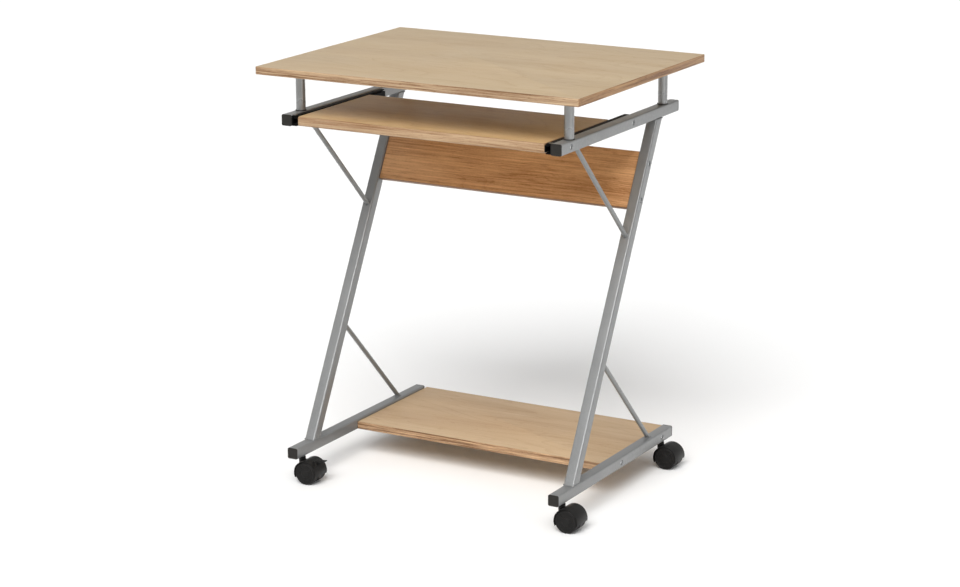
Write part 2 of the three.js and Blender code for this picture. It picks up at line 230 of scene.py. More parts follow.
def powder_coat(name, base, rough=0.40, metallic=0.25):
    """Silver-grey powder coat: faint orange peel, sparkle and handling marks, with a painted highlight that lightens
    the convex edges.
    """
    m = Mat(name)
    v = m.coord.outputs["Object"]
    peel = m.noise(m.mapping((1, 1, 1), source=v), 1500.0, 2.0, 0.5)
    flake = m.noise(m.mapping((1, 1, 1), loc=(3, 1, 2), source=v), 5200.0, 1.0, 0.5)
    cloud = m.noise(m.mapping((1, 1, 1), loc=(7, 1, 5), source=v), 16.0, 4.0, 0.6)
    dust_and_highlight = m.noise(m.mapping((1, 1, 1), loc=(1, 9, 5), source=v), 190.0, 4.0, 0.6)
    f = m.math("ADD", m.math("MULTIPLY", m.math("SUBTRACT", flake, 0.5), 0.55),
               m.math("MULTIPLY", m.math("SUBTRACT", cloud, 0.5), 0.50))
    f = m.math("ADD", f, 0.5, clamp=True)
    c = m.ramp(f, [(0.0, tuple(x * 0.72 for x in base)), (0.5, base), (1.0, tuple(min(1, x * 1.30) for x in base))])
    # Painted highlight: convex edges, found by pointiness, are lightened, patchily through the dust noise, to stand in
    # for glints on the rounded corners. The same dust noise also raises the roughness as handling marks.
    geo = m.new("ShaderNodeNewGeometry")
    edge = m.maprange(geo.outputs["Pointiness"], 0.52, 0.60, 0.0, 0.35)
    c = m.mix(c, tuple(min(1, x * 1.45) for x in base), m.math("MULTIPLY", edge, m.maprange(dust_and_highlight, 0.35, 0.65, 0.2, 1.0)))
    m.put("Base Color", c)
    m.put("Roughness", m.math("ADD", m.maprange(cloud, 0.3, 0.7, rough - 0.03, rough + 0.03),
                              m.maprange(dust_and_highlight, 0.55, 0.75, 0.0, 0.02)))
    m.put("Normal", m.bump(peel, 0.10, 0.00012))
    m.set(Metallic=metallic, Specular_IOR_Level=0.5, Coat_Weight=0.25, Coat_Roughness=0.20)
    return m.m


def plastic(name, base, rough=0.48, grain=2600.0, scuff=0.5, depth=0.00006, spec=0.45):
    """Moulded plastic with a fine spark-eroded grain and light scuffs."""
    m = Mat(name)
    v = m.coord.outputs["Object"]
    g = m.noise(m.mapping((1, 1, 1), source=v), grain, 2.0, 0.6)
    cloud = m.noise(m.mapping((1, 1, 1), loc=(4, 2, 9), source=v), 60.0, 4.0, 0.6)
    sc = m.noise(m.mapping((900.0, 60.0, 400.0), loc=(1, 2, 3), source=v), 1.0, 3.0, 0.6)
    sc = m.maprange(sc, 0.60, 0.74, 0.0, scuff)
    c = m.ramp(cloud, [(0.0, tuple(x * 0.75 for x in base)), (0.5, base), (1.0, tuple(min(1, x * 1.35) for x in base))])
    c = m.mix(c, tuple(min(1, x * 2.6 + 0.01) for x in base), sc)
    m.put("Base Color", c)
    m.put("Roughness", m.math("ADD", m.maprange(cloud, 0.3, 0.7, rough - 0.05, rough + 0.08), m.math("MULTIPLY", sc, 0.25)))
    m.put("Normal", m.bump(g, 0.35, depth))
    m.set(Specular_IOR_Level=spec)
    return m.m


def steel(name, base, rough=0.3, axis=1, metallic=1.0):
    """Rolled and plated steel with streaks along one axis."""
    m = Mat(name)
    s = [1400.0, 1400.0, 1400.0]
    s[axis] = 30.0
    streak = m.noise(m.mapping(tuple(s)), 1.0, 3.0, 0.6)
    cloud = m.noise(m.mapping((1, 1, 1), loc=(3, 3, 1)), 90.0, 4.0, 0.6)
    c = m.ramp(cloud, [(0.0, tuple(x * 0.75 for x in base)), (0.5, base), (1.0, tuple(min(1, x * 1.15) for x in base))])
    m.put("Base Color", c)
    m.put("Roughness", m.math("ADD", m.maprange(streak, 0.3, 0.7, rough - 0.07, rough + 0.08),
                              m.maprange(cloud, 0.55, 0.8, 0.0, 0.12)))
    m.put("Normal", m.bump(streak, 0.08, 0.00003))
    m.set(Metallic=metallic)
    return m.m


M_TOP = oak("oak_top", srgb(214, 194, 166), srgb(189, 164, 132), (0.80, 0.78, 0.71), figure=0.42, lines=0.20, cath=0.25, seed=1.0)
M_TOP_EDGE = oak("oak_top_edge", srgb(214, 182, 146), srgb(142, 104, 70), (0.73, 0.74, 0.74), figure=0.35, lines=1.15, cath=0.0, wavy=0.10, seed=2.0)
M_TOP_SIDE = oak("oak_top_side", srgb(214, 182, 146), srgb(142, 104, 70), (0.62, 0.53, 0.42), figure=0.35, lines=1.15, cath=0.0, wavy=0.10, seed=2.0, cross=True)
M_TRAY = oak("oak_tray", srgb(212, 188, 158), srgb(182, 152, 118), (1.0, 0.95, 0.76), figure=0.45, lines=0.25, cath=0.25, seed=3.0)
M_TRAY_EDGE = oak("oak_tray_edge", srgb(214, 184, 150), srgb(160, 120, 84), (0.70, 0.69, 0.66), figure=0.35, lines=1.0, cath=0.0, wavy=0.10, seed=4.0)
M_TRAY_SIDE = oak("oak_tray_side", srgb(214, 184, 150), srgb(160, 120, 84), (0.70, 0.69, 0.66), figure=0.35, lines=1.0, cath=0.0, wavy=0.10, seed=4.0, cross=True)
M_SHELF = oak("oak_shelf", srgb(208, 182, 150), srgb(176, 144, 110), (0.91, 0.915, 0.88), figure=0.60, lines=0.18, cath=0.22, seed=5.0)
M_SHELF_EDGE = oak("oak_shelf_edge", srgb(192, 156, 120), srgb(112, 80, 52), (1.05, 1.07, 1.08), figure=0.35, lines=1.2, cath=0.0, wavy=0.10, seed=6.0)
M_SHELF_SIDE = oak("oak_shelf_side", srgb(192, 156, 120), srgb(112, 80, 52), (1.05, 1.07, 1.08), figure=0.35, lines=1.2, cath=0.0, wavy=0.10, seed=6.0, cross=True)
# The panel's gain above 1 is painted light: it lifts the panel's colour to make up for the shade it sits in below the
# tray.
M_PANEL = oak("oak_panel", srgb(202, 156, 112), srgb(138, 92, 52), (1.36, 1.36, 1.32), figure=0.50, lines=0.55, cath=0.10, wavy=0.35, seed=7.0)
M_PANEL_EDGE = oak("oak_panel_edge", srgb(150, 110, 72), srgb(112, 78, 48), (1, 1, 1), figure=0.5, lines=0.9, cath=0.0, wavy=0.1, seed=8.0)
M_COAT = powder_coat("powder_coat_silver", srgb(129, 130, 130), rough=0.36, metallic=0.35)
# The posts' lighter base colour is painted light: it stands in for front light that the desktop keeps off them. The
# lower roughness and higher metallic give them a glossier coat.
M_POST = powder_coat("powder_coat_post", srgb(143, 144, 144), rough=0.28, metallic=0.45)
M_WELD = powder_coat("powder_coat_weld", srgb(122, 123, 123), rough=0.44, metallic=0.3)
M_CAP = plastic("cap_plastic", srgb(38, 36, 33), 0.50, grain=2400.0, scuff=0.10, spec=0.22)
M_HOOD = plastic("castor_plastic", srgb(27, 26, 25), 0.42, grain=3000.0, scuff=0.12, spec=0.24)
M_WHEEL = plastic("wheel_nylon", srgb(24, 23, 22), 0.50, grain=1800.0, scuff=0.15, depth=0.00009, spec=0.20)
M_RAIL = plastic("rail_black_paint", srgb(12, 12, 12), 0.58, grain=1600.0, scuff=0.06, depth=0.00004, spec=0.10)
M_CAGE = steel("cage_steel", srgb(150, 144, 134), 0.35, axis=1)
M_ZINC = steel("zinc_plate", srgb(226, 228, 230), 0.24, axis=2)
M_BALL = steel("ball_steel", srgb(205, 206, 208), 0.14, axis=0)
M_WASHER = plastic("washer_plastic", srgb(40, 38, 36), 0.5)
# Painted shade: the dark colour of the screw heads' cross recesses, which are drawn as bars and not cut.
M_RECESS_SHADE = plastic("recess_painted_shade", srgb(14, 14, 14), 0.7)


# ------------------------------------------------------------------ mesh helpers
def finish_mesh(name, bm, mats, body, location=(0, 0, 0), rotation=None, angle=35.0, replaces=()):
    bmesh.ops.recalc_face_normals(bm, faces=bm.faces)
    me = bpy.data.meshes.new(name)
    bm.to_mesh(me)
    bm.free()
    for p in me.polygons:
        p.use_smooth = True
    me.set_sharp_from_angle(angle=math.radians(angle))
    for m in mats:
        me.materials.append(m)
    o = bpy.data.objects.new(name, me)
    bpy.context.scene.collection.objects.link(o)
    o.location = location
    if rotation is not None:
        o.rotation_euler = rotation
    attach(o, body)
    if replaces:
        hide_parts(*replaces)
    return o


def round_rect(w, h, r, seg, cx=0.0, cy=0.0):
    pts = []
    for sx, sy, a0 in ((1, 1, 0), (-1, 1, 90), (-1, -1, 180), (1, -1, 270)):
        for i in range(seg + 1):
            a = math.radians(a0 + 90 * i / seg)
            pts.append((cx + sx * (w / 2 - r) + r * math.cos(a), cy + sy * (h / 2 - r) + r * math.sin(a)))
    return pts


def ring(bm, pts):
    return [bm.verts.new(p) for p in pts]


def skin(bm, a, b, mat=0):
    n = len(a)
    out = []
    for i in range(n):
        j = (i + 1) % n
        f = bm.faces.new((a[i], a[j], b[j], b[i]))
        f.material_index = mat
        out.append(f)
    return out


def loft(bm, rings, mat=0, mats=None, caps=True, cap_mat=None):
    """Closed body through a list of equal-length rings of points."""
    vs = [ring(bm, r) for r in rings]
    for k, (a, b) in enumerate(zip(vs, vs[1:])):
        skin(bm, a, b, mats[k] if mats else mat)
    if caps:
        f = bm.faces.new(list(reversed(vs[0])))
        g = bm.faces.new(vs[-1])
        f.material_index = g.material_index = mat if cap_mat is None else cap_mat
    return vs


def add_bm(dst, src, matrix=None, mat=None):
    """Copies src into dst and frees src."""
    if matrix is not None:
        bmesh.ops.transform(src, matrix=matrix, verts=src.verts)
    remap = {v: dst.verts.new(v.co) for v in src.verts}
    for f in src.faces:
        try:
            g = dst.faces.new([remap[v] for v in f.verts])
            g.material_index = f.material_index if mat is None else mat
        except ValueError:
            pass
    src.free()


def bevel_sharp(bm, width, seg=2, angle=40.0, only=None):
    bm.normal_update()
    edges = [e for e in bm.edges if len(e.link_faces) == 2 and e.calc_face_angle(0.0) > math.radians(angle)
             and (only is None or only(e))]
    return bmesh.ops.bevel(bm, geom=edges, offset=width, offset_type="OFFSET", segments=seg, profile=0.5,
                           affect="EDGES", clamp_overlap=True)


def lathe_bm(profile, seg=72, axis="Y"):
    """Revolves (radius, height) points. A point with radius 0 is a pole. The profile starts and ends at a pole or closes."""
    bm = bmesh.new()
    rows = []
    for r, t in profile:
        if r < 1e-9:
            v = bm.verts.new(place(axis, 0, 0, t))
            rows.append([v])
        else:
            rows.append([bm.verts.new(place(axis, r * math.cos(2 * math.pi * i / seg), r * math.sin(2 * math.pi * i / seg), t))
                         for i in range(seg)])
    for a, b in zip(rows, rows[1:]):
        if len(a) == 1 and len(b) == 1:
            continue
        for i in range(seg):
            j = (i + 1) % seg
            if len(a) == 1:
                bm.faces.new((a[0], b[j], b[i]))
            elif len(b) == 1:
                bm.faces.new((a[i], a[j], b[0]))
            else:
                bm.faces.new((a[i], a[j], b[j], b[i]))
    if len(rows[0]) > 1 and len(rows[-1]) > 1:
        a, b = rows[-1], rows[0]
        for i in range(seg):
            j = (i + 1) % seg
            bm.faces.new((a[i], a[j], b[j], b[i]))
    return bm


def place(axis, a, b, t):
    if axis == "Y":
        return (a, t, b)
    if axis == "X":
        return (t, a, b)
    return (a, b, t)


def prism_bm(outline, t0, t1, axis="Y"):
    """A straight body of a 2-D outline: outline points are (x, z) for axis Y, (y, z) for X, (x, y) for Z."""
    bm = bmesh.new()
    loft(bm, [[place(axis, a, b, t) for a, b in outline] for t in (t0, t1)])
    return bm


def smooth_noise(seed):
    rnd = random.Random(seed)
    ph = [(rnd.uniform(0, 6.28), rnd.uniform(0.6, 1.4)) for _ in range(6)]
    return lambda t: sum(math.sin(t * (k + 1) * w + p) / (k + 1.5) for k, (p, w) in enumerate(ph)) / 2.2


def bead_bm(path, radius, seed=0, closed=True, squash=0.75, seg=8, ripple=0.16, pitch=1.9 * MM):
    """A weld bead: a rope of overlapping ripples along a path of points (metres)."""
    bm = bmesh.new()
    pts = [Vector(p) for p in path]
    n = len(pts)
    noise = smooth_noise(seed)
    rows, s = [], 0.0
    for i, p in enumerate(pts):
        prev = pts[i - 1] if (closed or i > 0) else p
        nxt = pts[(i + 1) % n] if (closed or i < n - 1) else p
        d = (nxt - prev)
        d = d.normalized() if d.length > 1e-9 else Vector((1, 0, 0))
        if i:
            s += (p - pts[i - 1]).length
        up = Vector((0, 0, 1)) if abs(d.z) < 0.9 else Vector((0, 1, 0))
        side = d.cross(up).normalized()
        up = side.cross(d).normalized()
        r = radius * (1 + ripple * abs(math.sin(math.pi * s / pitch)) - ripple * 0.5 + 0.18 * noise(s / (4 * MM)))
        if not closed and (i == 0 or i == n - 1):
            r *= 0.35
        rows.append([bm.verts.new(p + side * (r * math.cos(2 * math.pi * k / seg)) + up * (r * squash * math.sin(2 * math.pi * k / seg)))
                     for k in range(seg)])
    pairs = list(zip(rows, rows[1:])) + ([(rows[-1], rows[0])] if closed else [])
    for a, b in pairs:
        for k in range(seg):
            j = (k + 1) % seg
            bm.faces.new((a[k], a[j], b[j], b[k]))
    if not closed:
        bm.faces.new(list(reversed(rows[0])))
        bm.faces.new(rows[-1])
    return bm


def resample(loop, step, closed=True):
    pts = [Vector(p) for p in loop]
    if closed:
        pts.append(pts[0])
    total = sum((b - a).length for a, b in zip(pts, pts[1:]))
    n = max(8, int(total / step))
    out, acc, k = [], 0.0, 0
    for i in range(n if closed else n + 1):
        want = total * i / n
        while k < len(pts) - 2 and acc + (pts[k + 1] - pts[k]).length < want:
            acc += (pts[k + 1] - pts[k]).length
            k += 1
        seg = (pts[k + 1] - pts[k]).length
        out.append(pts[k].lerp(pts[k + 1], 0 if seg < 1e-12 else min(1, (want - acc) / seg)))
    return out


# ------------------------------------------------------------------ boards
def board(name, node, mats, plan_r=3.0, edge=0.7, size=None, location=None, rotation=None, front_round=0.0, body="frame"):
    """Foil-faced board with edge banding. Material 0 on the faces, 1 on the edges. Local X is the grain."""
    if size is None:
        lo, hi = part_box(node)
        size = hi - lo
        location = (lo + hi) / 2
    sx, sy, sz = (v / 1.0 for v in size)
    bm = bmesh.new()
    if front_round:
        loft(bm, [[(x, y, z) for x, y in ((-sx / 2, -sy / 2), (sx / 2, -sy / 2), (sx / 2, sy / 2), (-sx / 2, sy / 2))]
                  for z in (-sz / 2, sz / 2)])
        bm.normal_update()
        es = [e for e in bm.edges if all(abs(v.co.y + sy / 2) < 1e-6 for v in e.verts) and abs(e.verts[0].co.z - e.verts[1].co.z) < 1e-6]
        bmesh.ops.bevel(bm, geom=es, offset=front_round * MM, offset_type="OFFSET", segments=8, profile=0.5, affect="EDGES")
        bm.normal_update()
        es = [e for e in bm.edges if len(e.link_faces) == 2 and e.calc_face_angle(0.0) > math.radians(50)]
        bmesh.ops.bevel(bm, geom=es, offset=1.2 * MM, offset_type="OFFSET", segments=3, profile=0.5, affect="EDGES", clamp_overlap=True)
    else:
        pts = round_rect(sx, sy, plan_r * MM, 6)
        loft(bm, [[(x, y, z) for x, y in pts] for z in (-sz / 2, sz / 2)])
        bevel_sharp(bm, edge * MM, 3, angle=60)
    bm.normal_update()
    for f in bm.faces:
        f.material_index = 0 if abs(f.normal.z) > 0.985 else 2 if len(mats) > 2 and abs(f.normal.x) > 0.7 else 1
    return finish_mesh(name, bm, mats, body, location=location, rotation=rotation, angle=32, replaces=[node])


top = board("desktop_board", "desktop", [M_TOP, M_TOP_EDGE, M_TOP_SIDE], plan_r=3.0, edge=0.8)
shelf = board("lower_shelf_board", "lower_shelf", [M_SHELF, M_SHELF_EDGE, M_SHELF_SIDE], plan_r=1.0, edge=0.7)
tray = board("keyboard_tray_board", "keyboard_tray", [M_TRAY, M_TRAY_EDGE, M_TRAY_SIDE], front_round=3.0, body="tray")

# slanted leg geometry, in metres
LEG_TOP = Vector((0, 140.9, 626.5)) * MM
LEG_FOOT = Vector((0, -153.9, 67.0)) * MM
slant = math.atan2(LEG_TOP.y - LEG_FOOT.y, LEG_TOP.z - LEG_FOOT.z)
T = Vector((0, math.sin(slant), math.cos(slant)))  # up along the leg
N = Vector((0, math.cos(slant), -math.sin(slant)))  # towards the back of the leg
SIDE_X = 251.5 * MM
HALF = 9.5 * MM

# The panel is built lying flat in its own frame (X grain, Y up the leg, Z out of the front), then stood up.
panel = board("back_panel_board", "back_panel", [M_PANEL, M_PANEL_EDGE], plan_r=0.8, edge=0.7,
              size=Vector((483.4, 99.0, 13.0)) * MM, location=Vector((0, 88.8, 527.7)) * MM,
              rotation=(math.pi / 2 - slant, 0, 0))


# ------------------------------------------------------------------ square tubes
def tube_y(name, node, body="frame"):
    """Rounded square tube along Y, with the open ends seen as a thin wall."""
    lo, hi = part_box(node)
    c = (lo + hi) / 2
    w, L = hi.x - lo.x, hi.y - lo.y
    outer = round_rect(w, w, 2.5 * MM, 7)
    inner = round_rect(w - 2.4 * MM, w - 2.4 * MM, 1.3 * MM, 7)
    e = 0.25 * MM
    bm = bmesh.new()
    o_in = round_rect(w - 2 * e, w - 2 * e, 2.3 * MM, 7)
    rings = [[(x, y, z) for x, z in p] for p, y in (
        (inner, L / 2), (o_in, L / 2), (outer, L / 2 - e), (outer, L / 6), (outer, -L / 6), (outer, -L / 2 + e), (o_in, -L / 2), (inner, -L / 2))]
    vs = [ring(bm, r) for r in rings]
    for a, b in zip(vs, vs[1:]):
        skin(bm, a, b)
    skin(bm, vs[-1], vs[0])
    return finish_mesh(name, bm, [M_COAT], body, location=c, angle=40, replaces=[node])


def cap_piece(name, node, front):
    """Black insert cap: a soft-cornered flange with a slightly domed face, and a plain plug inside the tube, narrowed
    at its inner end.
    """
    lo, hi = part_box(node)
    c = (lo + hi) / 2
    w = hi.x - lo.x
    face = lo.y if front else hi.y
    d = 1 if front else -1
    bm = bmesh.new()
    prof = [(0.0, 2.0), (0.0, 0.75), (0.22, 0.35), (0.62, 0.12), (1.3, 0.02), (3.2, 0.0), (6.0, 0.0)]
    rings = []
    for inset, depth in prof:
        s = w - 2 * inset * MM
        r = max(0.6, 2.5 - inset * 0.6) * MM
        r = min(r, s / 2 - 1e-5)
        rings.append([(x, face + d * depth * MM - c.y, z) for x, z in round_rect(s, s, r, 7)])
    loft(bm, rings)
    plug = bmesh.new()
    pw = 15.8 * MM
    loft(plug, [[(x, y - c.y, z) for x, z in round_rect(pw * k, pw * k, 1.0 * MM, 4)]
                for y, k in ((face + d * 2.0 * MM, 1.0), (face + d * 12.5 * MM, 1.0), (face + d * 13.8 * MM, 0.93))])
    add_bm(bm, plug)
    return finish_mesh(name, bm, [M_CAP], "frame", location=c, angle=50, replaces=[node])


def leg_piece(side, s):
    node = f"leg_tube_{side}"
    sec = round_rect(19 * MM, 19 * MM, 2.5 * MM, 7)
    x0 = s * SIDE_X
    mid = (LEG_TOP + LEG_FOOT) / 2
    bm = bmesh.new()
    rings = []
    for zcut in (67.05 * MM, 250 * MM, 440 * MM, 626.45 * MM):
        r = []
        for a, b in sec:
            base = mid + N * b
            t = (zcut - base.z) / T.z
            p = base + T * t
            r.append((a, p.y - mid.y, p.z - mid.z))
        rings.append(r)
    loft(bm, rings)
    return finish_mesh(f"leg_tube_piece_{side}", bm, [M_COAT], "frame", location=(x0, mid.y, mid.z), angle=40,
                       replaces=[node])


def leg_loop(s, z):
    """Outline of the leg's section on a level plane."""
    mid = (LEG_TOP + LEG_FOOT) / 2
    out = []
    for a, b in round_rect(19 * MM, 19 * MM, 2.5 * MM, 6):
        base = mid + N * b
        p = base + T * ((z - base.z) / T.z)
        out.append(Vector((s * SIDE_X + a, p.y, p.z)))
    return out


def rod_piece(name, node, a, b, r, pinch_a=True, pinch_b=True):
    """Brace rod: round in the middle, pressed a little flat where it is welded on."""
    a, b = Vector(a), Vector(b)
    d = (b - a)
    L = d.length
    d.normalize()
    x = Vector((1, 0, 0))
    y = d.cross(x).normalized()
    bm = bmesh.new()
    rings = []
    stops = [0, 3, 6, 10, 15, 22, 60, L / MM - 60, L / MM - 22, L / MM - 15, L / MM - 10, L / MM - 6, L / MM - 3, L / MM]
    for t in stops:
        e = min(t if pinch_a else 99, (L / MM - t) if pinch_b else 99)
        k = max(0.0, 1 - e / 20.0) ** 1.5
        rx, ry = r * (1 + 0.10 * k), r * (1 - 0.22 * k)
        p = a + d * (t * MM)
        rings.append([p + x * (rx * math.cos(q)) + y * (ry * math.sin(q)) for q in (2 * math.pi * i / 28 for i in range(28))])
    loft(bm, rings)
    return finish_mesh(name, bm, [M_COAT], "frame", angle=40, replaces=[node])


def ellipse_loop(c, n, rx, ry, xdir):
    """Loop of radius rx along xdir and ry across, on the plane with normal n."""
    n, xdir = Vector(n).normalized(), Vector(xdir).normalized()
    y = n.cross(xdir).normalized()
    return [Vector(c) + xdir * (rx * math.cos(q)) + y * (ry * math.sin(q)) for q in (2 * math.pi * i / 40 for i in range(40))]


# ------------------------------------------------------------------ screws
DIMPLE = 2.2  # depth of the pressed seat


def dimple(obj, points, s, r_out=4.8, r_in=3.7, cup=None):
    """Presses a conical seat for a screw into the outer face of a tube piece."""
    for p in points:
        if cup:
            # the pressed metal behind a thin wall
            r12 = r_out + (r_in - r_out) * 1.25 / DIMPLE
            q = lathe_bm([(a * MM, t * MM) for a, t in ((0, -DIMPLE), (r_in, -DIMPLE), (r12, -1.25), (r12 + 0.9, -1.25), (r_in + 0.9, -DIMPLE - 0.8), (0, -DIMPLE - 0.8))], 40, "X")
            if s < 0:
                bmesh.ops.rotate(q, verts=q.verts, cent=(0, 0, 0), matrix=Matrix.Rotation(math.pi, 3, "Z"))
            finish_mesh(f"{cup}_{points.index(p)}", q, [M_COAT], "frame", location=p, angle=35)
        c = lathe_bm([(0, -DIMPLE * MM), (r_in * MM, -DIMPLE * MM), (r_out * MM, 0.0), ((r_out + 0.4) * MM, 0.5 * MM), (0, 0.5 * MM)], 40, "X")
        if s < 0:
            bmesh.ops.rotate(c, verts=c.verts, cent=(0, 0, 0), matrix=Matrix.Rotation(math.pi, 3, "Z"))
        bmesh.ops.recalc_face_normals(c, faces=c.faces)
        me = bpy.data.meshes.new("cutter")
        c.to_mesh(me)
        c.free()
        k = bpy.data.objects.new("cutter", me)
        bpy.context.scene.collection.objects.link(k)
        k.location = p
        mod = obj.modifiers.new("seat", "BOOLEAN")
        mod.operation = "DIFFERENCE"
        mod.solver = "EXACT"
        mod.object = k
        bpy.context.view_layer.update()
        dg = bpy.context.evaluated_depsgraph_get()
        new = bpy.data.meshes.new_from_object(obj.evaluated_get(dg))
        obj.modifiers.clear()
        old = obj.data
        obj.data = new
        bpy.data.meshes.remove(old)
        bpy.data.objects.remove(k)
        bpy.data.meshes.remove(me)
    for q in obj.data.polygons:
        q.use_smooth = True
    obj.data.set_sharp_from_angle(angle=math.radians(35))


def screw_head(name, c, s, r=3.4, h=1.9, body="frame"):
    """Domed zinc screw head with a cross recess drawn as two dark bars of painted shade, sitting in its seat; c is the
    point on the tube's outer face.
    """
    prof = [(0, -DIMPLE + 0.02), (r * 0.98, -DIMPLE + 0.02), (r, -DIMPLE + 0.3), (r * 0.975, -DIMPLE + 0.55), (r * 0.90, -DIMPLE + 0.85), (r * 0.74, -DIMPLE + 1.15),
            (r * 0.5, -DIMPLE + 1.38), (r * 0.25, -DIMPLE + h), (0, -DIMPLE + h)]
    bm = lathe_bm([(a * MM, t * MM) for a, t in prof], 40, "X")
    # The cross recess is not cut into the head: two thin bars in the dark recess material stand in for its shadow as
    # painted shade.
    for q in (0, math.pi / 2):
        b = bmesh.new()
        w, l = 0.72 * MM, r * 0.60 * MM
        top_x = (-DIMPLE + h)
        loft(b, [[(x, y, z) for y, z in ((-l, -w / 2), (l, -w / 2), (l, w / 2), (-l, w / 2))] for x in ((top_x - 0.5) * MM, (top_x + 0.02) * MM)])
        bmesh.ops.rotate(b, verts=b.verts, cent=(0, 0, 0), matrix=Matrix.Rotation(q + 0.6, 3, "X"))
        add_bm(bm, b, mat=1)
    if s < 0:
        bmesh.ops.rotate(bm, verts=bm.verts, cent=(0, 0, 0), matrix=Matrix.Rotation(math.pi, 3, "Z"))
    return finish_mesh(name, bm, [M_ZINC, M_RECESS_SHADE], body, location=c, angle=45)


# ------------------------------------------------------------------ side frames
for side, s in (("left", -1), ("right", 1)):
    X = s * SIDE_X
    arm = tube_y(f"arm_tube_piece_{side}", f"arm_tube_{side}")
    base = tube_y(f"base_tube_piece_{side}", f"base_tube_{side}")
    for part in ("arm", "base"):
        for end in ("front", "rear"):
            cap_piece(f"{part}_cap_{end}_piece_{side}", f"{part}_cap_{end}_{side}", end == "front")
    leg = leg_piece(side, s)

    # weld beads round the leg's foot and head
    for tag, z, seed in (("foot", 67.5 * MM, 11 + s), ("head", 626.0 * MM, 21 + s)):
        loop = resample(leg_loop(s, z), 0.5 * MM)
        bm = bead_bm(loop, 1.35 * MM, seed=seed)
        finish_mesh(f"weld_leg_{tag}_{side}", bm, [M_WELD], "frame", angle=70)

    # braces at 45 degrees
    legc = N.dot((LEG_TOP + LEG_FOOT) / 2)
    k = math.sqrt(0.5)

    def hit(total, plane):
        # point on the line y + z = total where N.p = plane
        # y = total - z
        z = (N.y * total - plane) / (N.y - N.z)
        return Vector((X, total - z, z))

    up_leg = hit(480.8 * MM, legc - HALF)
    up_arm = Vector((X, (480.8 - 626.5) * MM, 626.5 * MM))
    lo_leg = hit(200.1 * MM, legc + HALF)
    lo_base = Vector((X, (200.1 - 67.0) * MM, 67.0 * MM))
    d45 = Vector((0, k, -k))
    rod_piece(f"upper_brace_piece_{side}", f"upper_brace_{side}", up_arm - d45 * 1.0 * MM, up_leg + d45 * 1.0 * MM, 4.0 * MM)
    rod_piece(f"lower_brace_piece_{side}", f"lower_brace_{side}", lo_leg - d45 * 1.0 * MM, lo_base + d45 * 1.0 * MM, 4.0 * MM)
    for tag, c, n, ry, seed in (("ua", up_arm - Vector((0, 0, 0.3 * MM)), (0, 0, 1), 5.6, 31), ("ul", up_leg - N * 0.3 * MM, N, 4.3, 32),
                                ("ll", lo_leg + N * 0.3 * MM, N, 4.3, 33), ("lb", lo_base + Vector((0, 0, 0.3 * MM)), (0, 0, 1), 5.6, 34)):
        loop = resample(ellipse_loop(c, n, 4.4 * MM, ry * MM, (1, 0, 0)), 0.5 * MM)
        bm = bead_bm(loop, 1.15 * MM, seed=seed + s)
        finish_mesh(f"weld_brace_{tag}_{side}", bm, [M_WELD], "frame", angle=70)

    # posts with a dark washer at the foot
    for end in ("front", "rear"):
        node = f"post_{end}_{side}"
        lo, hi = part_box(node)
        c = (lo + hi) / 2
        h = (hi.z - lo.z) / 2
        R = 8.0 * MM
        prof = [(6.8 * MM, -h), (R - 0.3 * MM, -h), (R, -h + 0.3 * MM), (R, -h * 0.3), (R, h * 0.3), (R, h - 0.3 * MM), (R - 0.3 * MM, h), (6.8 * MM, h)]
        bm = lathe_bm(prof, 56, "Z")
        finish_mesh(f"post_{end}_piece_{side}", bm, [M_POST], "frame", location=c, angle=40, replaces=[node])
        z0 = 645.5 * MM
        bm = lathe_bm([(8.15 * MM, 0.0), (9.0 * MM, 0.0), (9.3 * MM, 0.35 * MM), (9.15 * MM, 0.95 * MM), (8.7 * MM, 1.25 * MM), (8.15 * MM, 1.3 * MM)], 56, "Z")
        finish_mesh(f"post_washer_{end}_{side}", bm, [M_WASHER], "frame", location=(c.x, c.y, z0), angle=40)
        bm = lathe_bm([(8.15 * MM, -1.2 * MM), (8.8 * MM, -1.1 * MM), (9.2 * MM, -0.5 * MM), (9.3 * MM, 0.0), (8.15 * MM, 0.0)], 56, "Z")
        finish_mesh(f"post_collar_{end}_{side}", bm, [M_WASHER], "frame", location=(c.x, c.y, 711.45 * MM), angle=40)

    # screws through the outer faces
    xf = s * (SIDE_X + HALF)
    pc = Vector((0, 88.8, 527.7)) * MM
    for obj, tag, pts in ((leg, "panel", [pc + T * (t * MM) for t in (-32, 32)]),
                          (base, "shelf", [Vector((0, y, 57.0)) * MM for y in (13.3, 171.6)]),
                          (arm, "slide", [Vector((0, y, 636.0)) * MM for y in (-180.0, 42.0)])):
        spots = [(xf, p.y, p.z) for p in pts]
        dimple(obj, spots, s, cup=None if obj is leg else f"{tag}_seat_{side}")
        for i, p in enumerate(spots):
            screw_head(f"{tag}_screw_{i}_{side}", p, s)


# ------------------------------------------------------------------ slides
def bevel_node(node, mat, width=0.18):
    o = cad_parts[node]
    o.data.materials.clear()
    o.data.materials.append(mat)
    b = o.modifiers.new("edge", "BEVEL")
    b.width = width * MM
    b.segments = 2
    b.limit_method = "ANGLE"
    b.angle_limit = math.radians(25)
    b.harden_normals = False


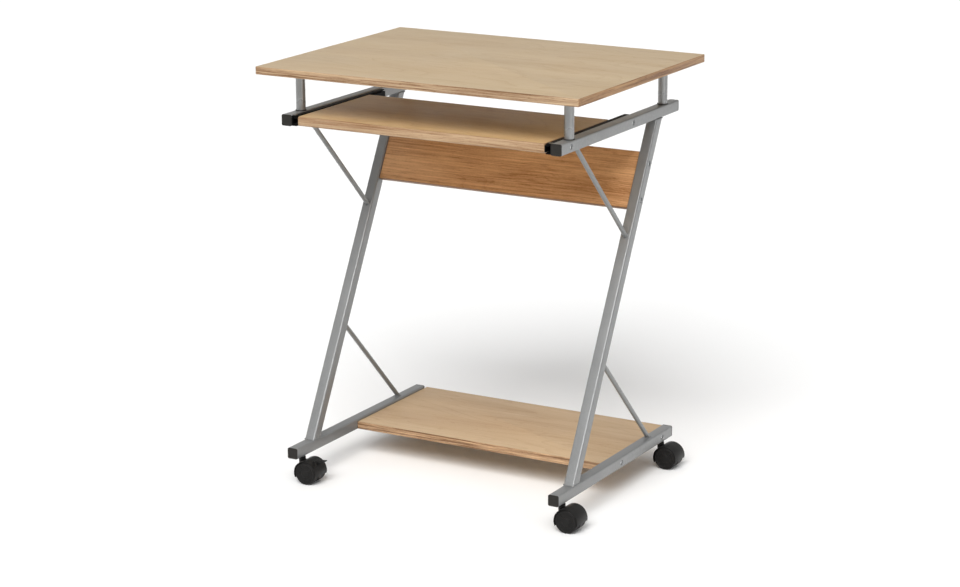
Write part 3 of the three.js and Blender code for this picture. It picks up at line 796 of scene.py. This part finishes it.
for side, s in (("left", -1), ("right", 1)):
    bevel_node(f"slide_outer_rail_{side}", M_RAIL, 0.18)
    bevel_node(f"slide_inner_rail_{side}", M_RAIL, 0.18)
    bevel_node(f"slide_ball_cage_{side}", M_CAGE, 0.12)
    # balls in the cage
    lo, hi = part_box(f"slide_ball_cage_{side}")
    bm = bmesh.new()
    xin = s * (SIDE_X - HALF) - s * 6.6 * MM
    for zc in (636 + 6.4, 636 - 6.4):
        for i in range(9):
            y = lo.y + (hi.y - lo.y) * (i + 0.5) / 9
            b = bmesh.new()
            bmesh.ops.create_icosphere(b, subdivisions=3, radius=0.93 * MM)
            add_bm(bm, b, Matrix.Translation((xin, y, zc * MM)))
    finish_mesh(f"slide_balls_{side}", bm, [M_BALL], f"ball_cage_{side}", angle=60)
    # bent stop tab at the front of the outer rail
    x0 = s * (SIDE_X - HALF)
    bm = bmesh.new()
    y0 = -213.2 * MM
    prof = [(0.3, 8.45), (5.2, 8.45), (6.6, 8.9), (7.4, 9.9), (6.9, 10.3), (6.1, 9.5), (5.0, 9.15), (0.3, 9.15)]
    loft(bm, [[(x0 - s * d * MM, y, (636 + h) * MM) for d, h in prof] for y in (y0 + 3 * MM, y0 + 8.5 * MM)])
    bevel_sharp(bm, 0.12 * MM, 2, angle=40)
    finish_mesh(f"slide_stop_tab_{side}", bm, [M_CAGE], "frame", angle=40)


# ------------------------------------------------------------------ castors
def arc_band_bm(cx, cz, r0, r1, a0, a1, y0, y1, n=64):
    pts = [(cx + r1 * math.cos(a), cz + r1 * math.sin(a)) for a in (math.radians(a0 + (a1 - a0) * i / n) for i in range(n + 1))]
    pts += [(cx + r0 * math.cos(a), cz + r0 * math.sin(a)) for a in (math.radians(a1 + (a0 - a1) * i / n) for i in range(n + 1))]
    return prism_bm(pts, y0, y1, "Y")


def wheel_bm():
    """One wheel: flat tread with small grooves, rolled shoulder, dished outer face with a raised hub; the ribs are
    added by disc_spokes_bm. Axis Y, outer face at +Y.
    """
    prof = [(2.9, 4.9), (9.0, 4.9), (9.6, 5.3), (17.6, 5.3), (18.1, 4.9), (18.9, 4.95), (19.6, 5.35), (20.0, 6.0),
            (20.0, 8.2), (19.75, 8.45), (19.75, 8.75), (20.0, 9.0), (20.0, 13.4), (19.75, 13.65), (19.75, 13.95), (20.0, 14.2),
            (20.0, 16.0), (19.85, 16.7), (19.45, 17.4), (18.8, 17.95), (18.0, 18.3), (17.2, 18.4), (16.5, 18.35), (16.0, 18.0), (15.8, 17.4),
            (15.4, 17.15), (14.8, 17.1), (8.2, 17.25), (7.4, 17.4), (7.0, 17.7), (6.8, 18.1), (6.4, 18.35), (5.8, 18.4), (0, 18.4)]
    # close on the inside: a blind hub bore
    prof = prof + []
    bm = lathe_bm([(0, 16.7 * MM), (2.9 * MM, 16.7 * MM)] + [(r * MM, t * MM) for r, t in prof], 96, "Y")
    return bm


def disc_spokes_bm():
    """Shallow ribs on the wheel's outer face."""
    bm = bmesh.new()
    for i in range(8):
        b = bmesh.new()
        w = 1.3 * MM
        loft(b, [[(x, y, z) for x, z in ((7.2 * MM, -w / 2), (15.6 * MM, -w * 0.42), (15.6 * MM, w * 0.42), (7.2 * MM, w / 2))]
                 for y in (16.8 * MM, 17.75 * MM)])
        bevel_sharp(b, 0.25 * MM, 2, angle=40)
        bmesh.ops.rotate(b, verts=b.verts, cent=(0, 0, 0), matrix=Matrix.Rotation(2 * math.pi * i / 8, 3, "Y"))
        add_bm(bm, b)
    return bm


for side, s in (("left", -1), ("right", 1)):
    for end, ys in (("front", -187.0), ("rear", 185.0)):
        tag = f"{end}_{side}"
        body = f"castor_{tag}"
        O = Vector((s * 251.5, ys, 0)) * MM
        wx, wz = 16.0 * MM, 20.0 * MM
        brake = side == "left"

        # hood, web and stem socket
        bm = bmesh.new()
        b = arc_band_bm(wx, wz, 20.5 * MM, 21.7 * MM, -12, 205, -18.6 * MM, 18.6 * MM)
        bevel_sharp(b, 0.45 * MM, 3, angle=50)
        add_bm(bm, b)
        # thin rolled lips along the hood's side edges
        for e in (-1, 1):
            b = arc_band_bm(wx, wz, 20.45 * MM, 21.7 * MM, -12, 205, min(e * 17.6, e * 18.6) * MM, max(e * 17.6, e * 18.6) * MM)
            add_bm(bm, b)
        n = 60
        web = [(wx + 20.8 * MM * math.cos(a), wz + 20.8 * MM * math.sin(a)) for a in (math.radians(-30 + 255 * i / n) for i in range(n + 1))]
        web += [(wx - 8 * MM, wz - 8.5 * MM), (wx, wz - 9.0 * MM), (wx + 8 * MM, wz - 8.5 * MM)]
        b = prism_bm(web, -4.4 * MM, 4.4 * MM, "Y")
        bevel_sharp(b, 0.5 * MM, 2, angle=50)
        add_bm(bm, b)
        prof = [(3.6, 32.0), (5.6, 32.0), (6.0, 38.5), (6.0, 43.6), (5.85, 44.3), (5.4, 44.8), (4.6, 44.9), (3.6, 44.9)]
        b = lathe_bm([(r * MM, t * MM) for r, t in prof], 48, "Z")
        # the socket stays above the wheels
        for v in b.verts:
            if v.co.z < 36 * MM and abs(v.co.y) > 4.3 * MM:
                v.co.z = 36.2 * MM
        add_bm(bm, b)
        # fillet where the socket meets the hood
        loop = []
        for i in range(72):
            q = 2 * math.pi * i / 72
            x, y = 6.3 * MM * math.cos(q), 6.3 * MM * math.sin(q)
            dx = x - wx
            z = wz + math.sqrt(max(0.0, (21.7 * MM) ** 2 - dx * dx)) if abs(dx) < 21.6 * MM else wz
            loop.append((x, y, max(z, wz + 4 * MM)))
        b = bead_bm(resample(loop, 0.6 * MM), 0.9 * MM, seed=5, ripple=0.0, squash=0.9)
        add_bm(bm, b)
        if brake:
            for e in (-1, 1):
                ear = [(wx + 10.4 * MM, wz + 17.8 * MM), (wx + 13.2 * MM, wz + 16.4 * MM), (wx + 16.9 * MM, wz + 13.2 * MM), (wx + 17.0 * MM, wz + 20.5 * MM),
                       (wx + 16.4 * MM, wz + 21.7 * MM), (wx + 15.3 * MM, wz + 22.4 * MM), (wx + 12.8 * MM, wz + 22.4 * MM), (wx + 11.4 * MM, wz + 21.7 * MM),
                       (wx + 10.6 * MM, wz + 20.5 * MM)]
                b = prism_bm(ear, min(e * 7.5, e * 9.8) * MM, max(e * 7.5, e * 9.8) * MM, "Y")
                bevel_sharp(b, 0.3 * MM, 2, angle=50)
                add_bm(bm, b)
        finish_mesh(f"castor_housing_piece_{tag}", bm, [M_HOOD], body, location=O, angle=40,
                    replaces=[f"castor_housing_{tag}"])

        # axle: a plain pin with chamfered ends
        prof = [(0, -16.2), (2.1, -16.2), (2.5, -15.8), (2.5, 15.8), (2.1, 16.2), (0, 16.2)]
        bm = lathe_bm([(r * MM, t * MM) for r, t in prof], 32, "Y")
        finish_mesh(f"castor_axle_piece_{tag}", bm, [M_ZINC], body, location=O + Vector((wx, 0, wz)), angle=40,
                    replaces=[f"castor_axle_{tag}"])

        # wheels
        for w, e in (("a", -1), ("b", 1)):
            bm = wheel_bm()
            add_bm(bm, disc_spokes_bm())
            if e < 0:
                bmesh.ops.rotate(bm, verts=bm.verts, cent=(0, 0, 0), matrix=Matrix.Rotation(math.pi, 3, "Z"))
            finish_mesh(f"castor_wheel_piece_{w}_{tag}", bm, [M_WHEEL], f"wheel_{w}_{tag}", location=O + Vector((wx, 0, wz)), angle=38,
                        replaces=[f"castor_wheel_{w}_{tag}"])

        # stem: hexagon collar, pin and thread
        bm = lathe_bm([(r * MM, t * MM) for r, t in [(0, 27), (2.7, 27), (3.2, 27.6), (3.2, 45.2), (0, 45.2)]], 32, "Z")
        hexo = [(5.5 * MM * math.cos(math.radians(60 * i + 30)), 5.5 * MM * math.sin(math.radians(60 * i + 30))) for i in range(6)]
        b = prism_bm(hexo, 45.2 * MM, 47.7 * MM, "Z")
        bevel_sharp(b, 0.25 * MM, 2, angle=30)
        add_bm(bm, b)
        thread = [(0, 46.0)]
        z = 47.6
        thread.append((3.5, 46.0))
        thread.append((3.5, z))
        while z < 61.0:
            thread += [(4.0, z + 0.5), (3.5, z + 1.0)]
            z += 1.0
        thread += [(3.0, 62.0), (0, 62.0)]
        add_bm(bm, lathe_bm([(r * MM, t * MM) for r, t in thread], 32, "Z"))
        finish_mesh(f"castor_stem_piece_{tag}", bm, [M_ZINC], "frame", location=O, angle=32,
                    replaces=[f"castor_stem_{tag}"])

        if brake:
            bx, bz = wx + 14 * MM, wz + 20 * MM
            bm = lathe_bm([(r * MM, t * MM) for r, t in [(0, -9.4), (1.1, -9.4), (1.1, -7.1), (2.3, -7.1), (2.3, 7.1), (1.1, 7.1), (1.1, 9.4), (0, 9.4)]], 36, "Y")
            tab = [(0, -0.2), (4, -0.5), (8, -0.6), (12, -0.1), (15.5, 0.6), (15.9, 1.1), (16.0, 1.7), (15.7, 2.3), (15.0, 2.6), (12, 2.1), (8, 1.6), (4, 1.7), (0, 2.2)]
            b = prism_bm([(x * MM, z * MM) for x, z in tab], -7.1 * MM, 7.1 * MM, "Y")
            bevel_sharp(b, 0.35 * MM, 3, angle=50)
            add_bm(bm, b)
            for i in range(4):
                b = bmesh.new()
                x = (7.0 + 2.1 * i) * MM
                zt = (1.65 + 0.18 * i) * MM
                loft(b, [[(x - 0.35 * MM, y, z), (x + 0.35 * MM, y, z)][::1] + [(x + 0.2 * MM, y, z + 0.35 * MM), (x - 0.2 * MM, y, z + 0.35 * MM)]
                         for y, z in ((-5.6 * MM, zt), (5.6 * MM, zt))])
                add_bm(bm, b)
            finish_mesh(f"brake_lever_piece_{tag}", bm, [M_HOOD], f"brake_lever_{tag}", location=O + Vector((bx, 0, bz)), angle=40,
                        replaces=[f"castor_brake_lever_{tag}"])


# ------------------------------------------------------------------ floor, light, camera
def floor_material():
    m = Mat("floor_pale")
    v = m.coord.outputs["Object"]
    a = m.noise(m.mapping((1, 1, 1), source=v), 2.0, 3.0, 0.5)
    m.put("Base Color", m.ramp(a, [(0.0, (0.90, 0.90, 0.895)), (1.0, (0.93, 0.93, 0.925))]))
    m.set(Roughness=0.8, Specular_IOR_Level=0.1)
    return m.m


bm = bmesh.new()
S = 14.0
vs = [bm.verts.new(p) for p in ((-S, -S, 0), (S, -S, 0), (S, S, 0), (-S, S, 0))]
bm.faces.new(vs)
me = bpy.data.meshes.new("floor")
bm.to_mesh(me)
bm.free()
me.materials.append(floor_material())
floor = bpy.data.objects.new("floor", me)
bpy.context.scene.collection.objects.link(floor)
floor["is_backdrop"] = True


def area(name, loc, target, size, power, color=(1, 1, 1)):
    l = bpy.data.lights.new(name, "AREA")
    l.shape = "RECTANGLE"
    l.size, l.size_y = size
    l.energy = power
    l.color = color
    o = bpy.data.objects.new(name, l)
    o.location = loc
    o.rotation_mode = "QUATERNION"
    o.rotation_quaternion = (Vector(target) - Vector(loc)).to_track_quat("-Z", "Y")
    bpy.context.scene.collection.objects.link(o)
    return o


def sun(name, towards, energy, angle, color=(1, 1, 1)):
    l = bpy.data.lights.new(name, "SUN")
    l.energy = energy
    l.angle = math.radians(angle)
    l.color = color
    o = bpy.data.objects.new(name, l)
    o.rotation_mode = "QUATERNION"
    o.rotation_quaternion = (-Vector(towards)).to_track_quat("-Z", "Y")
    o.location = Vector(towards).normalized() * 4
    bpy.context.scene.collection.objects.link(o)
    return o


sun("key_front", (0.17, -0.70, 0.74), 2.9, 36)
sun("sky", (-0.10, -0.15, 1.0), 0.80, 110)
area("right_box", (3.0, -1.1, 1.2), (0, 0, 0.4), (0.5, 2.0), 14)

world = bpy.data.worlds.new("studio")
bpy.context.scene.world = world
world.use_nodes = True
wt = world.node_tree
bg = wt.nodes["Background"]
# a dim room with a bright backdrop behind the desk
wc = wt.nodes.new("ShaderNodeTexCoord")
ws = wt.nodes.new("ShaderNodeSeparateXYZ")
wt.links.new(wc.outputs["Generated"], ws.inputs[0])
wy = wt.nodes.new("ShaderNodeMapRange")
wy.interpolation_type = "SMOOTHSTEP"
for i, v in enumerate((0.15, 0.75, 0.0, 1.0), start=1):
    wy.inputs[i].default_value = v
wt.links.new(ws.outputs[1], wy.inputs[0])
wz = wt.nodes.new("ShaderNodeMapRange")
wz.interpolation_type = "SMOOTHSTEP"
for i, v in enumerate((0.75, 0.25, 0.0, 1.0), start=1):
    wz.inputs[i].default_value = v
wt.links.new(ws.outputs[2], wz.inputs[0])
wm = wt.nodes.new("ShaderNodeMath")
wm.operation = "MULTIPLY"
wt.links.new(wy.outputs[0], wm.inputs[0])
wt.links.new(wz.outputs[0], wm.inputs[1])
wr = wt.nodes.new("ShaderNodeMapRange")
for i, v in enumerate((0.0, 1.0, 0.25, 0.55), start=1):
    wr.inputs[i].default_value = v
wt.links.new(wm.outputs[0], wr.inputs[0])
wt.links.new(wr.outputs[0], bg.inputs["Strength"])
bg.inputs["Color"].default_value = (1.0, 1.0, 1.0, 1)

cam_data = bpy.data.cameras.new("camera")
cam = bpy.data.objects.new("camera", cam_data)
bpy.context.scene.collection.objects.link(cam)
yaw, pitch, roll = math.radians(29.33), math.radians(-14.86), math.radians(-0.10)
fwd = Vector((-math.sin(yaw) * math.cos(pitch), math.cos(yaw) * math.cos(pitch), math.sin(pitch)))
right = Vector((math.cos(yaw), math.sin(yaw), 0))
upv = right.cross(fwd)
r2 = right * math.cos(roll) + upv * math.sin(roll)
u2 = -right * math.sin(roll) + upv * math.cos(roll)
rot = Matrix((r2, u2, -fwd)).transposed()
cam.matrix_world = Matrix.Translation(Vector((2.1557, -3.8473, 1.4923))) @ rot.to_4x4()
cam_data.sensor_fit = "HORIZONTAL"
cam_data.sensor_width = 36.0
cam_data.lens = 100.3
cam_data.clip_start, cam_data.clip_end = 0.05, 60.0
bpy.context.scene.camera = cam
bpy.context.scene.view_settings.view_transform = "Standard"
bpy.context.scene.view_settings.look = "None"

lo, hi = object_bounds()
